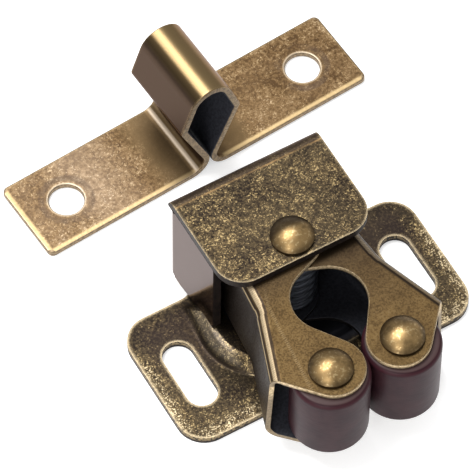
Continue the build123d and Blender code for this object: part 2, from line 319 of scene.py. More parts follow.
def face_like(obj: bpy.types.Object, place: Vector, outward: Vector) -> None:
    """Turns an open sheet's faces the same way, as the one nearest to a place must face."""
    with editing(obj):
        bpy.ops.mesh.normals_make_consistent(inside=False)
        faces = bmesh.from_edit_mesh(obj.data).faces
        nearest = min(faces, key=lambda face: (face.calc_center_median() - place).length)
        if nearest.normal.dot(outward) < 0:
            bpy.ops.mesh.flip_normals()


def modify(obj: bpy.types.Object, kind: str, **settings: object) -> None:
    """Adds a modifier with its settings and applies it."""
    select_only(obj)
    modifier = obj.modifiers.new(kind.lower(), kind)
    for name, value in settings.items():
        setattr(modifier, name, value)
    bpy.ops.object.modifier_apply(modifier=modifier.name)


def fold(
        obj: bpy.types.Object, test: Callable[[Vector, Vector], bool], r: float, segments: int,
) -> None:
    """Rounds the picked edges of a sheet to a bend of radius r."""
    with editing(obj, False):
        pick_edges(obj, test)
        bpy.ops.mesh.bevel(offset=r, segments=segments, affect="EDGES", clamp_overlap=False)


def dress(obj: bpy.types.Object, *finishes: bpy.types.Material) -> bpy.types.Object:
    """Gives a piece its material slots."""
    for finish in finishes:
        obj.data.materials.append(finish)
    return obj


def thicken(obj: bpy.types.Object, sheet: float, *finishes: bpy.types.Material) -> None:
    """Gives a sheet its thickness and the finishes of its outer faces, inner faces and rim."""
    dress(obj, *finishes)
    modify(
        obj, "SOLIDIFY", thickness=sheet, offset=-1.0, use_even_offset=True, use_quality_normals=True,
        material_offset=1, material_offset_rim=2,
    )


def punch(obj: bpy.types.Object, cutter: bpy.types.Object) -> None:
    """Cuts a hole with another object, which is used up and leaves the rim's finish."""
    dress(cutter, *obj.data.materials)
    for face in cutter.data.polygons:
        face.material_index = len(obj.data.materials) - 1
    modify(obj, "BOOLEAN", operation="DIFFERENCE", solver="EXACT", object=cutter)
    bpy.data.objects.remove(cutter)


def bore(obj: bpy.types.Object, centre: Point, r: float, high: float) -> None:
    """Drills a round hole along Z, from below up through a height."""
    pencil = Pencil("cutter", (centre[0] + r, centre[1]), offset=-CLEAR)
    cutter = pencil.arc(centre, 360, BORE_STEPS).fill()
    punch(obj, extrude_all(cutter, (0, 0, high + 2 * CLEAR)))


def soften(obj: bpy.types.Object, width: float, segments: int = 2) -> None:
    """Breaks the sharp edges and shades the rest smooth, with flat faces kept flat."""
    modify(
        obj, "BEVEL", width=width, segments=segments, limit_method="ANGLE", angle_limit=BREAK_ANGLE)
    select_only(obj)
    bpy.ops.object.shade_smooth_by_angle(angle=SHEET_SMOOTH)
    modify(obj, "WEIGHTED_NORMAL", keep_sharp=True, weight=60)


def lathe(obj: bpy.types.Object, centre: Point, steps: int) -> bpy.types.Object:
    """Spins a half outline all the way round an upright axis."""
    with editing(obj):
        bpy.ops.mesh.delete(type="ONLY_FACE")
        bpy.ops.mesh.select_all(action="SELECT")
        bpy.ops.mesh.spin(steps=steps, angle=FULL_TURN, center=(*centre, 0), axis=(0, 0, 1))
        bpy.ops.mesh.select_all(action="SELECT")
        bpy.ops.mesh.remove_doubles(threshold=MERGE)
        bpy.ops.mesh.normals_make_consistent(inside=False)
    select_only(obj)
    bpy.ops.object.shade_smooth_by_angle(angle=TURNED_SMOOTH)
    return obj


def place(obj: bpy.types.Object, matrix: Matrix) -> bpy.types.Object:
    """Moves the mesh itself, so that the object stays at the origin."""
    obj.data.transform(matrix)
    return obj


def deliver(obj: bpy.types.Object, body: str, node: str) -> None:
    """Scales a finished piece to metres and hands it to the frame.

    Args:
        obj: The piece, in millimetres.
        body: Body that it moves with.
        node: CAD node that it stands for.
    """
    place(obj, Matrix.Scale(MM, 4))
    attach(obj, body)
    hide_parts(node)
    log.info("%s: %d faces on %s", obj.name, len(obj.data.polygons), body)


# Shader maths

class Value:
    """A shader socket that takes part in Python arithmetic."""

    def __init__(self, graph: "Graph", socket: bpy.types.NodeSocket) -> None:
        """Wraps one output socket of a graph."""
        self.graph = graph
        self.socket = socket

    def __add__(self, other: "Number") -> "Value":
        """Sum."""
        return self.graph.math("ADD", self, other)

    def __sub__(self, other: "Number") -> "Value":
        """Difference."""
        return self.graph.math("SUBTRACT", self, other)

    def __rsub__(self, other: "Number") -> "Value":
        """Difference from a number."""
        return self.graph.math("SUBTRACT", other, self)

    def __mul__(self, other: "Number") -> "Value":
        """Product."""
        return self.graph.math("MULTIPLY", self, other)

    def __abs__(self) -> "Value":
        """Size without the sign."""
        return self.graph.math("ABSOLUTE", self)

    __radd__ = __add__
    __rmul__ = __mul__

    def inside(self, *limit: float) -> "Value":
        """A soft border along this value.

        Args:
            *limit: Two numbers, for 0 at the first and 1 at the second, or three, for the
                lower and the upper end of a band and the width of its soft ends.

        Returns:
            1 inside the border and 0 outside.
        """
        if len(limit) == 3:
            low, high, soft = limit
            return self.inside(low, low + soft) * self.inside(high, high - soft)
        outer, inner = limit
        step = self.graph.node(
            "ShaderNodeMapRange", 0, {"interpolation_type": "SMOOTHSTEP"},
            Value=self, From_Min=min(limit), From_Max=max(limit), To_Min=0.0, To_Max=1.0)
        return step if outer < inner else 1.0 - step


Number = Union[Value, float]
Input = Union[Value, float, Sequence[float]]
Limit = tuple[float, ...]


class Graph:
    """The node tree of one material, built by expressions."""

    def __init__(self, name: str) -> None:
        """Starts an empty material of that name."""
        self.material = bpy.data.materials.new(name)
        self.material.use_nodes = True
        self.tree = self.material.node_tree
        self.tree.nodes.clear()

    def node(
            self, kind: str, output: Union[str, int], settings: Optional[dict] = None, **inputs: Input,
    ) -> Value:
        """Adds any node.

        Args:
            kind: Blender's name of the node's type.
            output: Name or place of the output that is wanted.
            settings: Properties that are set before the sockets.
            **inputs: Values or links by socket identifier.

        Returns:
            The wanted output.
        """
        made = self.tree.nodes.new(kind)
        for name, value in (settings or {}).items():
            setattr(made, name, value)
        for identifier, value in inputs.items():
            socket = next(s for s in made.inputs if s.identifier.replace(" ", "_") == identifier)
            if isinstance(value, Value):
                self.tree.links.new(value.socket, socket)
            else:
                socket.default_value = value
        return Value(self, made.outputs[output])

    def math(self, operation: str, first: Number, second: Number = 0.0) -> Value:
        """A Math node on one or two numbers."""
        return self.node("ShaderNodeMath", 0, {"operation": operation}, Value=first, Value_001=second)

    def vector(self, operation: str, first: Input, second: Input, output: str = "Vector") -> Value:
        """A Vector Math node on two vectors."""
        return self.node(
            "ShaderNodeVectorMath", output, {"operation": operation}, Vector=first, Vector_001=second)

    def mix(self, share: Number, low: Input, high: Input) -> Value:
        """A colour between two, at a share of the second."""
        low = low if isinstance(low, Value) else (*low, 1.0)
        high = high if isinstance(high, Value) else (*high, 1.0)
        return self.node(
            "ShaderNodeMix", 2, {"data_type": "RGBA"}, Factor_Float=share, A_Color=low, B_Color=high)

    def axis(self, vector: Value, index: int) -> Value:
        """One coordinate of a vector."""
        return self.node("ShaderNodeSeparateXYZ", index, Vector=vector)

    def surface(self, **inputs: Input) -> bpy.types.Material:
        """Ends the material in a Principled shader with these sockets."""
        shader = self.node("ShaderNodeBsdfPrincipled", 0, None, **inputs)
        end = self.tree.nodes.new("ShaderNodeOutputMaterial")
        self.tree.links.new(shader.socket, end.inputs["Surface"])
        return self.material


class Mark:
    """A tint that covers a share of one zone of the surface."""

    def __init__(self, tint: Colour, share: float = 1.0, **limits: Limit) -> None:
        """Describes the mark.

        Args:
            tint: Its colour.
            share: How much of the colour below it covers.
            **limits: Limits of its zone, by the name of the measure.
        """
        self.tint = tint
        self.share = share
        self.limits = limits


class Skin(Graph):
    """The graph of a finish: it measures the surface and keeps the colour painted so far.

    A measure is an attribute that gives a Value. Lengths are in millimetres, in the frame
    of the part, and the measures of the normal are cosines."""

    colour: Value

    @cached_property
    def point(self) -> Value:
        """The point of the surface."""
        return self.vector("MULTIPLY", self.node("ShaderNodeTexCoord", "Object"), (1 / MM,) * 3)

    @cached_property
    def normal(self) -> Value:
        """The direction that the surface faces."""
        return self.node("ShaderNodeNewGeometry", "Normal")

    @cached_property
    def rightward(self) -> Value:
        """How far right of the middle the point lies."""
        return self.axis(self.point, 0)

    @cached_property
    def across(self) -> Value:
        """How far from the middle the point lies, on either side."""
        return abs(self.rightward)

    @cached_property
    def along(self) -> Value:
        """How far behind the slots the point lies."""
        return self.axis(self.point, 1)

    @cached_property
    def height(self) -> Value:
        """How far above the mounting surface the point lies."""
        return self.axis(self.point, 2)

    @cached_property
    def side(self) -> Value:
        """How far the surface faces left or right."""
        return abs(self.axis(self.normal, 0))

    @cached_property
    def lean(self) -> Value:
        """How far the surface faces up."""
        return self.axis(self.normal, 2)

    def noise(
            self, size: float, detail: float = 3.0, roughness: float = 0.55,
            shift: Optional[Sequence[float]] = None, stretch: Optional[Sequence[float]] = None,
    ) -> Value:
        """Noise fixed to the part.

        Args:
            size: Width of its features.
            detail: Octaves of finer features.
            roughness: Weight of the finer features.
            shift: Move of the noise, so that two of one size differ.
            stretch: Factors on the three axes.

        Returns:
            The noise, about 0.2 to 0.8 with 0.5 in the middle.
        """
        point = self.point
        if shift:
            point = self.vector("ADD", point, shift)
        if stretch:
            point = self.vector("MULTIPLY", point, stretch)
        return self.node(
            "ShaderNodeTexNoise", 0, None, Vector=point, Scale=1 / size, Detail=detail,
            Roughness=roughness)

    def edges(self, radius: float) -> Value:
        """How near the surface is to an edge, 0 on the flat and 1 on the edge."""
        rounded = self.node("ShaderNodeBevel", 0, {"samples": 6}, Radius=radius * MM)
        return 1.0 - self.vector("DOT_PRODUCT", rounded, self.normal, "Value")

    def zone(self, **limits: Limit) -> Value:
        """1 where every named measure lies inside its limit, with soft borders."""
        borders = [getattr(self, measure).inside(*limit) for measure, limit in limits.items()]
        return reduce(mul, borders)

    def paint(self, share: Number, tint: Input, **limits: Limit) -> None:
        """Covers a share of the colour, everywhere or in one zone, with a tint."""
        if limits:
            share = share * self.zone(**limits)
        self.colour = self.mix(share, self.colour, tint)

    def mark(self, *marks: Mark, mask: Number = 1.0) -> None:
        """Paints marks one over another, each within its own zone and a common mask."""
        for mark in marks:
            self.paint(mark.share * mask, mark.tint, **mark.limits)

    def lighten(self, share: Number, factors: Colour) -> None:
        """Multiplies a share of the colour."""
        self.paint(share, self.vector("MULTIPLY", self.colour, factors))

    def coat(
            self, bumps: Value, relief: float, strength: float = 1.0, **inputs: Input,
    ) -> bpy.types.Material:
        """Ends the material with the painted colour, its bumps and the other sockets."""
        bump = self.node(
            "ShaderNodeBump", 0, None, Strength=strength, Distance=relief * MM, Height=bumps)
        return self.surface(Base_Color=self.colour, Normal=bump, **inputs)


# Finishes

class PlatedSkin(Skin):
    """The surface of a plated piece, as new: no painted bead highlights, no dark edges, rubbed at
    random.
    """

    bead: Number = 0.0
    kept: Number = 0.0

    @cached_property
    def cloud(self) -> Value:
        """Slow noise that breaks up every border."""
        return self.noise(3.4)

    @cached_property
    def rub(self) -> Value:
        """How far polish has rubbed the plating, about 0 in hollows and 1 at the borders."""
        return self.zone(cloud=(0.2, 0.8))

    def ragged(self, measure: Value, depth: float) -> Value:
        """A measure whose borders wander by a depth."""
        return measure + depth * (self.cloud - 0.5)

    def age(self) -> Number:
        """Paints what the press and wear have changed, and gives what is satin: here nothing."""
        return 0.0


class BracketSkin(PlatedSkin):
    """The bracket: hazy flanges, a painted highlight down the slopes, painted highlights on the beads
    of its upper edges, and painted shade on its rims, bend, shelf, crease and inside the tower.
    """

    PLATE = (14.6, 15.0)
    FLANGE = {"side": (0.75, 0.95), "height": (1.15, 14.35, 0.1)}
    HAZE = (0.014, 0.011, 0.01), (0.008, 0.0065, 0.0055)
    # Painted shade on the top plate's side face.
    RIM = Mark((0.05, 0.036, 0.028), height=(14.35, 15.4, 0.05), lean=(0.4, 0.1))
    # Painted shade on the top plate where it turns down into the rear bend.
    BEND_SHADE = Mark((0.06, 0.042, 0.03), 0.6, height=PLATE, along=(11.5, 11.7))
    # Painted highlight, broken by noise, along the line where the rear bend starts.
    RIDGE_HIGHLIGHT = Mark((0.25, 0.155, 0.07), height=PLATE)
    RIDGE_HIGHLIGHT_ALONG = (11.3, 11.6, 0.09)
    HOLLOW = Mark((0.028, 0.0195, 0.0165), 0.5, height=(1.12, 1.04), across=(17.4, 15.2))
    HOLLOW_ALONG = (-1.5, 8.4, 2.2)
    SLOT = {"across": (11.6, 16.2, 0.1), "along": (-4.9, 3.6, 0.9), "height": PLATE[::-1]}
    # Colours of the painted highlights on the beads: darker on the ears, paler on the top plate.
    BEAD_HIGHLIGHTS = (0.56, 0.43, 0.24), (0.82, 0.72, 0.58)
    SLOPE = {"height": (1.02, 2.6, 0.12), "across": (8.2, 9.4), "along": (8.0, 5.5)}
    # Painted highlight down the platform's slope: the colour is lifted by these factors and then
    # tinted pale.
    SLOPE_HIGHLIGHT_GAIN = (2.0, 2.1, 2.4)
    SLOPE_HIGHLIGHT = Mark((0.4, 0.34, 0.27), 0.16)
    # Painted shade on the platform's top beside the jaws, and in the crease at the slope's foot.
    SHELF_SHADE = Mark((0.012, 0.009, 0.008), 0.7, height=(2.24, 2.5, 0.05), lean=(0.98, 0.995))
    CREASE_SHADE = Mark((0.02, 0.014, 0.01), 0.75, height=(1.0, 1.3, 0.08), across=(8.0, 9.0))
    # Painted shade inside the tower, beneath the top plate and round the jaws.
    TOWER_SHADE_ZONE = {"along": (-5.4, -4.6), "height": (0.9, 14.45, 0.05)}
    TOWER_SHADE = Mark((0.026, 0.0265, 0.032), along=(12.4, 12.2))

    @cached_property
    def bead(self) -> Value:
        """1 on the rounded upper edges of the top plate and ears, which carry a painted highlight."""
        level = self.math("MAXIMUM", self.zone(height=(14.9, 15.1)), self.zone(height=(1.1, 1.02)))
        pressed = self.zone(across=(11.45, 11.25), along=(-3.6, 9.0, 0.4), height=(1.4, 1.2))
        return self.zone(lean=(0.3, 0.985, 0.12), along=(11.6, 11.2)) * level * (1.0 - pressed)

    @cached_property
    def kept(self) -> Value:
        """1 where the edges of the upright walls have kept their dark plating."""
        return self.zone(height=(1.15, 14.4, 0.1))

    @cached_property
    def rub(self) -> Value:
        """How far hands and polish have rubbed the plating."""
        ear = self.zone(height=(1.6, 1.2))
        border = self.math("MAXIMUM", self.zone(across=(14.8, 18.0)), self.zone(along=(-3.5, -7.8)))
        border = border * (1.0 - 0.8 * self.zone(along=(2.0, 7.0)))
        return ear * border + (1.0 - ear) * (0.45 + 0.25 * self.zone(cloud=(0.3, 0.7)))

    def tower(self) -> Value:
        """Paints the flanges, painted shade on the plate's side and its bend, and a painted highlight
        on its ridge.

        Returns:
            1 on the flanges, which are satin."""
        flange = self.zone(**self.FLANGE)
        self.paint(flange, self.mix(self.zone(cloud=(0.3, 0.7)), *self.HAZE))
        self.mark(self.RIM, self.BEND_SHADE)
        ridge = self.ragged(self.along, 0.15).inside(*self.RIDGE_HIGHLIGHT_ALONG)
        self.mark(self.RIDGE_HIGHLIGHT, mask=ridge * (0.2 + 0.45 * self.zone(cloud=(0.35, 0.65))))
        return flange

    def ears(self) -> None:
        """Paints the ears' hollows, and the painted highlights on the beads, which are faint along the
        slots.
        """
        self.mark(self.HOLLOW, mask=self.ragged(self.along, 2.0).inside(*self.HOLLOW_ALONG))
        pale = self.mix(self.zone(height=(2.0, 4.0)), *self.BEAD_HIGHLIGHTS)
        self.paint(0.95 * self.bead * (1.0 - 0.75 * self.zone(**self.SLOT)), pale)

    def platform(self) -> None:
        """Paints a painted highlight down the slope, painted shade on the shelf at the crest, and
        painted shade in the crease at the foot.
        """
        # Where the painted highlight lies on the slope, broken by noise.
        slope_highlight = self.zone(**self.SLOPE) * (self.cloud + 0.06 * self.along).inside(0.15, 0.5)
        slope_highlight = slope_highlight * self.zone(height=(1.25, 1.8))
        self.lighten(slope_highlight, self.SLOPE_HIGHLIGHT_GAIN)
        self.mark(self.SLOPE_HIGHLIGHT, mask=slope_highlight)
        self.mark(self.SHELF_SHADE, self.CREASE_SHADE)

    def age(self) -> Number:
        """Paints the tower, the ears and the platform with their painted light and shade, and painted
        shade inside the tower, and gives what is satin.
        """
        flange = self.tower()
        self.ears()
        self.platform()
        # Painted shade inside the tower, narrower above the platform; it is not satin.
        within = (self.across - 1.1 * self.zone(height=(2.6, 3.0))).inside(7.25, 7.05)
        in_shade = within * self.zone(**self.TOWER_SHADE_ZONE)
        self.mark(self.TOWER_SHADE, mask=in_shade)
        return flange * (1.0 - in_shade * self.zone(**self.TOWER_SHADE.limits))


STRIKE_CENTRE = (1.3, 27.7)
STRIKE_TURN = 4.1


class StrikeSkin(PlatedSkin):
    """The strike: pale and flecked towards its left end, satin on and about the prong, with painted
    highlights and shade on its edges, foot and prong.
    """

    FLAT = (0.95, 0.82)
    PRONG = (1.0, 2.2)
    HOLE_RUN = 16.0
    PALE = (1.65, 1.85, 2.3)
    CLAY = Mark((0.33, 0.24, 0.17), 0.25)
    DENT = Mark((0.13, 0.085, 0.05), 0.45, leftward=(6.0, 12.0))
    GOLD = (0.13, 0.085, 0.04), (0.17, 0.112, 0.055)
    HALO = Mark(
        (0.06, 0.042, 0.034), 0.5, height=FLAT, from_hole=(2.3, 3.4, 0.35), cloud=(0.35, 0.55))
    # Painted highlights on the rolled front and left edges and on the holes' rounded rims.
    ROLLED_HIGHLIGHT = Mark((0.66, 0.49, 0.25), 0.65, height=FLAT)
    RING_HIGHLIGHT = Mark((0.66, 0.56, 0.44), 0.65, height=FLAT, from_hole=(2.32, 2.1))
    SHADED = Mark((0.035, 0.026, 0.018), 0.85, height=FLAT)
    FOOT = {"run": (-1.0, -2.0), "height": (2.2, 1.8)}
    FOOT_SHADE = Mark((0.045, 0.03, 0.016), 0.4, run=(-5.6, -2.6))
    FOOT_GLEAM = Mark((0.6, 0.5, 0.39), 0.85, lean=(0.74, 0.975, 0.07))
    # Painted light and shade on the prong: a highlight on its crest, shade on its left face with a
    # darker line beside the crest, and shade on its right face.
    PRONG_LIGHT_AND_SHADE = (
        Mark((0.215, 0.15, 0.072), height=PRONG, lean=(0.3, 0.75)),
        Mark((0.062, 0.04, 0.027), height=PRONG, facing=(-0.55, -0.8)),
        Mark((0.03, 0.018, 0.008), 0.7, height=PRONG, facing=(-0.8, -0.35, 0.15)),
        Mark((0.13, 0.072, 0.024), height=PRONG, facing=(0.3, 0.9)),
    )

    def turned(self, vector: Value, index: int) -> Value:
        """One coordinate of a vector in the strike's own frame."""
        return self.axis(self.node(
            "ShaderNodeVectorRotate", 0, {"rotation_type": "Z_AXIS"}, Vector=vector,
            Angle=-radians(STRIKE_TURN)), index)

    @cached_property
    def run(self) -> Value:
        """How far right of the prong the point lies, along the strip."""
        turn, (x, y) = radians(STRIKE_TURN), STRIKE_CENTRE
        return self.turned(self.point, 0) - (x * cos(turn) + y * sin(turn))

    @cached_property
    def depth(self) -> Value:
        """How far behind the strip's middle line the point lies."""
        turn, (x, y) = radians(STRIKE_TURN), STRIKE_CENTRE
        return self.turned(self.point, 1) - (y * cos(turn) - x * sin(turn))

    @cached_property
    def facing(self) -> Value:
        """How far the surface faces the strip's right end."""
        return self.turned(self.normal, 0)

    @cached_property
    def leftward(self) -> Value:
        """How far left of the prong the point lies, with a wandering border."""
        return self.ragged(0.0 - self.run, 5.0)

    @cached_property
    def from_hole(self) -> Value:
        """How far from the nearer hole's axis the point lies."""
        off = abs(self.run) - self.HOLE_RUN
        return self.math("SQRT", off * off + self.depth * self.depth)

    def strip(self) -> Value:
        """Paints the flat of the strip.

        Returns:
            1 on and about the prong, which are satin."""
        satin = self.math(
            "MAXIMUM", self.zone(height=self.PRONG), self.ragged(abs(self.run), 3.0).inside(7.0, 4.5))
        pale = self.zone(leftward=(5.0, 14.0)) * (1.0 - 0.8 * self.zone(leftward=(12.5, 17.5)))
        pale = pale * (1.0 - 0.4 * self.zone(depth=(0.0, -4.5)))
        self.lighten(pale, self.PALE)
        self.mark(self.CLAY, mask=pale)
        self.mark(self.DENT, mask=self.noise(0.6, 2.0, 0.6).inside(0.44, 0.6))
        self.paint(0.85 * satin, self.mix(self.zone(cloud=(0.3, 0.7)), *self.GOLD))
        return satin

    def age(self) -> Number:
        """Paints dark halos round the holes, painted highlights on the rolled edges, the holes' rims,
        the foot and the prong, painted shade on the far edges, the foot and the prong's sides, and
        gives what is satin.
        """
        satin = self.strip()
        # The rolled edges carry a painted highlight, and the far edges painted shade.
        rolled = self.math("MAXIMUM", self.zone(depth=(-4.45, -4.8)), self.zone(run=(-20.7, -21.05)))
        shaded = self.math("MAXIMUM", self.zone(depth=(4.9, 5.1)), self.zone(run=(21.15, 21.35)))
        self.mark(self.HALO)
        self.mark(self.ROLLED_HIGHLIGHT, mask=rolled)
        self.mark(self.RING_HIGHLIGHT)
        self.mark(self.SHADED, mask=shaded)
        self.mark(self.FOOT_SHADE, self.FOOT_GLEAM, mask=self.zone(**self.FOOT))
        self.mark(*self.PRONG_LIGHT_AND_SHADE)
        return satin


@dataclass(frozen=True)
class Plating:
    """Antique bronze plating: fine gold flecks and worn edges over a browned ground."""

    name: str
    skin: type[PlatedSkin]
    dark: Colour
    ground: Colour
    fleck: Colour
    spark: Colour
    gleam: Colour
    stain: Colour
    worn: Colour
    fleck_size: float
    satin_roughness: float = 0.3
    roughness: float = 0.42
    metallic: float = 0.92
    grazing: Colour = (0.82, 0.74, 0.72)
    relief: float = 0.014
    wear: float = 0.75
    ground_tone: Limit = (0.36, 0.5)
    fleck_tone: Limit = (0.5, 0.64)
    spark_tone: Limit = (0.58, 0.68)
    stain_tone: Limit = (0.42, 0.6)

    def build(self) -> bpy.types.Material:
        """Makes the material."""
        skin = self.skin(self.name)
        patch = skin.noise(0.9, roughness=0.6)
        grain = skin.noise(self.fleck_size, roughness=0.65)
        dust = skin.noise(0.6 * self.fleck_size, 2.0, 0.7, shift=(7.0, 3.0, 5.0))
        rubbed = skin.rub - 0.55
        tone = skin.ragged(grain + 0.3 * (patch - 0.5), 0.2) + 0.14 * rubbed
        skin.colour = skin.mix(tone.inside(*self.ground_tone), self.dark, self.ground)
        skin.paint(tone.inside(*self.fleck_tone), self.fleck)
        spark = (dust + 0.4 * (patch - 0.5) + 0.12 * rubbed).inside(*self.spark_tone)
        skin.paint(spark, skin.mix(skin.zone(rub=(0.65, 1.0)), self.spark, self.gleam))
        stain = skin.noise(4.5, 2.0, shift=(31.0, 17.0, 5.0)).inside(*self.stain_tone)
        skin.paint(0.25 * stain, self.stain)
        satin = skin.age()
        edge = skin.edges(self.wear) * (1.0 - 0.6 * skin.zone(height=(8.0, 12.0)))
        edge = edge + 0.08 * (grain - 0.5)
        edge = edge.inside(0.02, 0.2) * patch.inside(0.22, 0.42) * (1.0 - skin.kept)
        skin.paint(0.9 * edge, self.worn)
        smooth = self.satin_roughness + 0.22 * skin.zone(height=(1.4, 1.0))
        coarse = self.roughness + 0.2 * (0.5 - grain)
        flecked = 1.0 - satin
        # The beads are less metallic, so that their painted highlight shows pale.
        return skin.coat(
            (grain + patch) * flecked, self.relief, Metallic=self.metallic - 0.7 * skin.bead,
            Roughness=smooth * satin + coarse * flecked, Specular_Tint=(*self.grazing, 1.0))


class JawSkin(Skin):
    """The surface of a jaw, with its bend and its ribbed border measured."""

    KNEE = (7.75, -3.5)
    FLANK_TURNS = (0.102, 0.349)

    @cached_property
    def lean(self) -> Value:
        """How far the surface faces up or down."""
        return abs(self.axis(self.normal, 2))

    @cached_property
    def tilt(self) -> Value:
        """How far the surface leans from the plate, in degrees."""
        return self.math("ARCCOSINE", self.lean) * degrees(1.0)

    @cached_property
    def inset(self) -> Value:
        """How far inside the flank the point lies."""
        across, along = self.across - self.KNEE[0], self.along - self.KNEE[1]
        lines = [across * cos(turn) + along * sin(turn) for turn in self.FLANK_TURNS]
        return 0.0 - self.math("MAXIMUM", *lines)


@dataclass(frozen=True)
class Satin:
    """Smooth olive bronze of the jaws: fine grain, mottled, with painted shade down the flanks,
    towards the top plate and on the right jaw, and a painted highlight along the bend.
    """

    name: str
    dark: Colour
    ground: Colour
    # Colour of the painted shade on the flanks, towards the top plate, on the right jaw and beside the
    # edges.
    flank: Colour
    spark: Colour
    worn: Colour
    # Colour of the painted highlight along the bend.
    bright: Colour
    grain_size: float = 0.2
    mottle: float = 2.4
    roughness: float = 0.38
    metallic: float = 0.92
    relief: float = 0.008
    wear: float = 0.3
    rib_pitch: float = 0.24
    ground_tone: Limit = (0.3, 0.66)
    spark_tone: Limit = (0.58, 0.72)
    upper_shade: Limit = (4.0, 20.0, 4.0)
    highlight_bend: Limit = (17.0, 43.0, 6.0)
    lower_shade: Limit = (45.0, 58.0, 3.0)
    lower_wear: Limit = (56.0, 66.0, 3.0)
    ribbed_border: Limit = (1.1, 1.7, 0.25)

    def build(self) -> bpy.types.Material:
        """Makes the material."""
        skin = JawSkin(self.name)
        cloud = skin.noise(self.mottle)
        grain = skin.noise(self.grain_size, roughness=0.65)
        wander = cloud - 0.5
        shade = (grain + 0.35 * wander).inside(*self.ground_tone)
        skin.colour = skin.mix(shade, self.dark, self.ground)
        skin.paint(0.6 * (grain + 0.2 * wander).inside(*self.spark_tone), self.spark)
        # Painted shade down the flanks.
        skin.paint(1.0, self.flank, lean=(0.8, 0.25))
        # Painted shade towards the top plate, which the jaws reach beneath.
        tail = (skin.along + 1.5 * wander).inside(-6.0, 0.5)
        skin.paint(0.6 * tail, self.flank)
        # Painted shade on the front of the right jaw.
        right = skin.zone(rightward=(-2.0, 2.0))
        skin.paint(0.35 * right, self.flank, along=(-13.0, -4.0))
        waves = (skin.along + 0.3 * skin.noise(0.7, 2.0)) * (FULL_TURN / self.rib_pitch)
        rib = skin.math("SINE", waves).inside(-0.6, 0.9)
        # Painted highlight along the bend, ribbed, and weaker on the right jaw.
        bend = skin.zone(tilt=self.highlight_bend)
        skin.paint(0.85, self.flank, tilt=self.upper_shade)
        skin.paint(bend * (0.6 + 0.35 * rib) * (1.0 - 0.7 * right), self.bright)
        skin.paint(0.85, self.flank, tilt=self.lower_shade)
        skin.paint(0.6, self.worn, tilt=self.lower_wear)
        ribbed = (skin.inset + 0.3 * wander).inside(*self.ribbed_border)
        ribbed = ribbed * (1.0 - tail) * (1.0 - right)
        skin.paint(0.16 * (ribbed * rib), self.worn, lean=(0.98, 0.995))
        # Along each edge a band of painted shade, and on the edge a pale line of worn plating that
        # also stands in for the edge's highlight.
        edge = skin.edges(self.wear) + 0.1 * (grain - 0.5)
        skin.paint(0.5 * edge.inside(0.005, 0.07, 0.02), self.flank)
        skin.paint(0.9 * edge.inside(0.07, 0.2), self.worn)
        return skin.coat(
            grain + 0.8 * (rib * bend), self.relief, Metallic=self.metallic,
            Roughness=self.roughness + 0.2 * (1.0 - shade))


@dataclass(frozen=True)
class Brass:
    """Brass-toned rivet plating: mottled, with painted shade round the foot and a painted dark
    reflection behind the crown.
    """

    name: str
    dark: Colour
    ground: Colour
    glint: Colour
    shade_tint: Colour
    roughness: float = 0.4
    metallic: float = 0.92
    relief: float = 0.02
    ground_tone: Limit = (0.28, 0.56)
    glint_tone: Limit = (0.56, 0.72)

    def build(self) -> bpy.types.Material:
        """Makes the material."""
        skin = Skin(self.name)
        cloud = skin.noise(1.5, roughness=0.5)
        grain = skin.noise(0.35, 2.0, 0.5)
        tone = (cloud + 0.3 * (grain - 0.5)).inside(*self.ground_tone)
        skin.colour = skin.mix(tone, self.dark, self.ground)
        skin.paint((grain + 0.4 * (cloud - 0.5)).inside(*self.glint_tone), self.glint)
        # Painted shade round the foot, and a painted dark reflection on the rear side of the crown,
        # strongest on the pivot rivet.
        skin.paint(0.85, self.shade_tint, lean=(0.86, 0.62))
        rearward = skin.axis(skin.normal, 1) + 0.35 * (cloud - 0.5)
        pivot = 0.45 + 0.42 * skin.zone(along=(-6.0, -2.0))
        skin.paint(pivot * rearward.inside(-0.08, 0.3), self.shade_tint)
        return skin.coat(
            cloud + 0.4 * grain, self.relief, Metallic=self.metallic,
            Roughness=self.roughness + 0.25 * (0.5 - grain))


@dataclass(frozen=True)
class Plain:
    """A quiet grained surface: painted shade inside a channel, or spring wire.

    It is measured as the bracket's surface is, because a rim of the bracket has its beads."""

    name: str
    low: Colour
    high: Colour
    roughness: float = 0.5
    metallic: float = 0.8
    gloss: float = 0.5
    relief: float = 0.01
    grain_size: float = 0.3

    def age(self, skin: BracketSkin, grain: Value) -> None:
        """Paints what the press and hands have changed: here nothing."""

    def build(self) -> bpy.types.Material:
        """Makes the material."""
        skin = BracketSkin(self.name)
        grain = skin.noise(self.grain_size)
        skin.colour = skin.mix(grain.inside(0.35, 0.65), self.low, self.high)
        self.age(skin, grain)
        return skin.coat(
            grain, self.relief, Metallic=self.metallic, Specular_IOR_Level=self.gloss,
            Roughness=self.roughness + 0.15 * (grain - 0.5))


@dataclass(frozen=True)
class BeadedRim(Plain):
    """The bracket's cut edge: dark as painted shade, with gold on the ears and a painted highlight as
    a pale bead above.
    """

    gold: Colour = (0.34, 0.25, 0.13)
    # Colour of the painted highlight on the bead.
    pale: Colour = (0.8, 0.69, 0.54)

    def age(self, skin: BracketSkin, grain: Value) -> None:
        """Paints the gold, and the painted highlight on the bead."""
        gilded = grain.inside(0.4, 0.55) * skin.zone(height=(0.25, 0.6))
        skin.paint(0.8 * gilded, self.gold, height=(1.4, 1.1))
        skin.paint(0.95 * skin.bead, self.pale)


